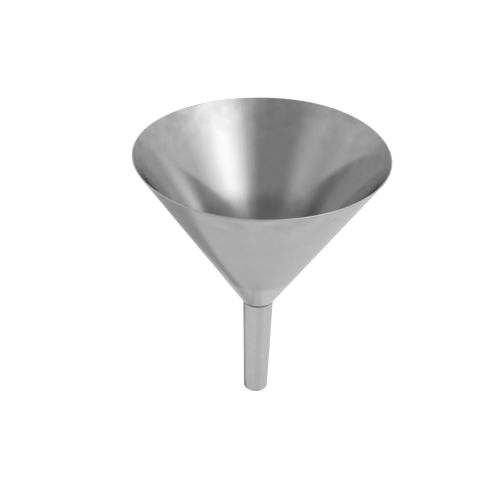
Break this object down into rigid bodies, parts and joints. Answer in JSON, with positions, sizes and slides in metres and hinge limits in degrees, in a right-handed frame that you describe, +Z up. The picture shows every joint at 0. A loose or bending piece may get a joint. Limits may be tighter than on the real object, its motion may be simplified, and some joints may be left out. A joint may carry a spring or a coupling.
{
  "type": "funnel",
  "caption": "Brushed steel funnel: a wide thin-walled cone with a dressed round mouth edge, and a long tapered stem welded into its throat.",
  "frame": {"origin": "centre of the stem's square-cut outlet end, on the funnel's axis", "axes": "+Z up the funnel's axis, from the outlet to the mouth; +Y through the welded seams of the cone and the stem"},
  "size_m": [0.15, 0.15, 0.1761],
  "materials": {
    "cone_sheet": "satin stainless sheet, fine brushing up the cone inside, soft mill grain outside",
    "stem_sheet": "satin stainless tube, smooth, faint lengthwise grain",
    "ground_weld": "stainless weld ground flush, coarser cross grain"
  },
  "bodies": {
    "root": {"cone": "cone_sheet", "cone_seam_weld": "ground_weld", "stem": "stem_sheet", "stem_seam_weld": "ground_weld", "throat_weld": "ground_weld"}
  },
  "joints": []
}
